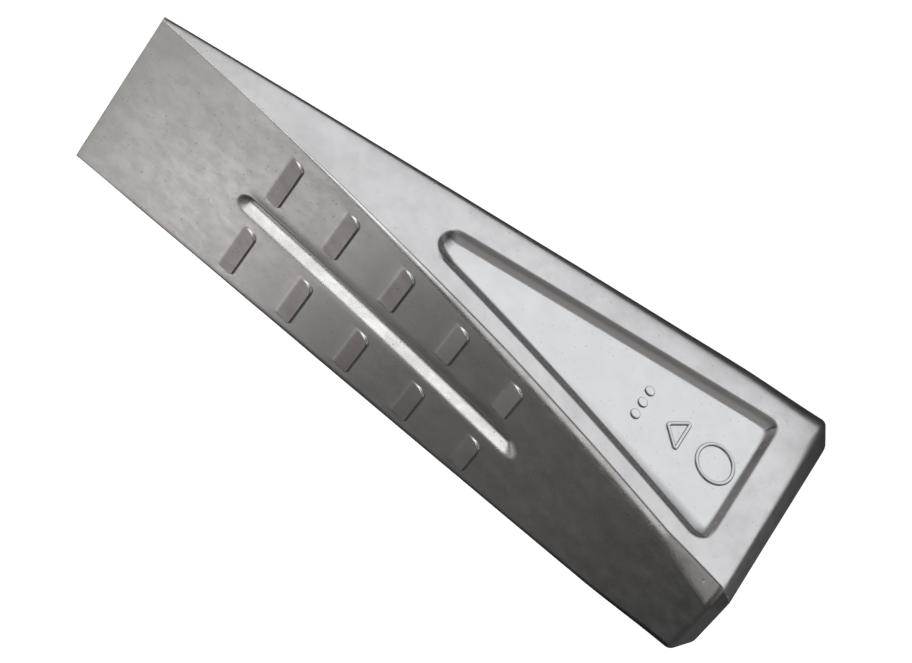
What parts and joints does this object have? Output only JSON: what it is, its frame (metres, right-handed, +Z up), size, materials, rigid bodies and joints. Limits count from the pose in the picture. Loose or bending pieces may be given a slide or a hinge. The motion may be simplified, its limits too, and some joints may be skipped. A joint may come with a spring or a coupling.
{
  "type": "felling wedge",
  "caption": "One-piece forged aluminium wedge with a blunt straight tip, hollowed broad faces, a centre groove, low barbs, pocketed sides and a chamfered striking head.",
  "frame": {"origin": "centre of the bounding box at its bottom: the wedge lies on its lower broad face, which touches the ground along the tip's lower edge and the head's lower shoulder", "axes": "+X along the ground from the tip to the striking head, +Y across the width, +Z up through the thickness; the wedge's own long axis rises 9.38 degrees from +X"},
  "size_m": [0.1798, 0.0638, 0.0581],
  "materials": {
    "forged_aluminium": "satin as-forged aluminium with fine pits and scratches"
  },
  "bodies": {
    "root": {"wedge_forging": "forged_aluminium"}
  },
  "joints": []
}
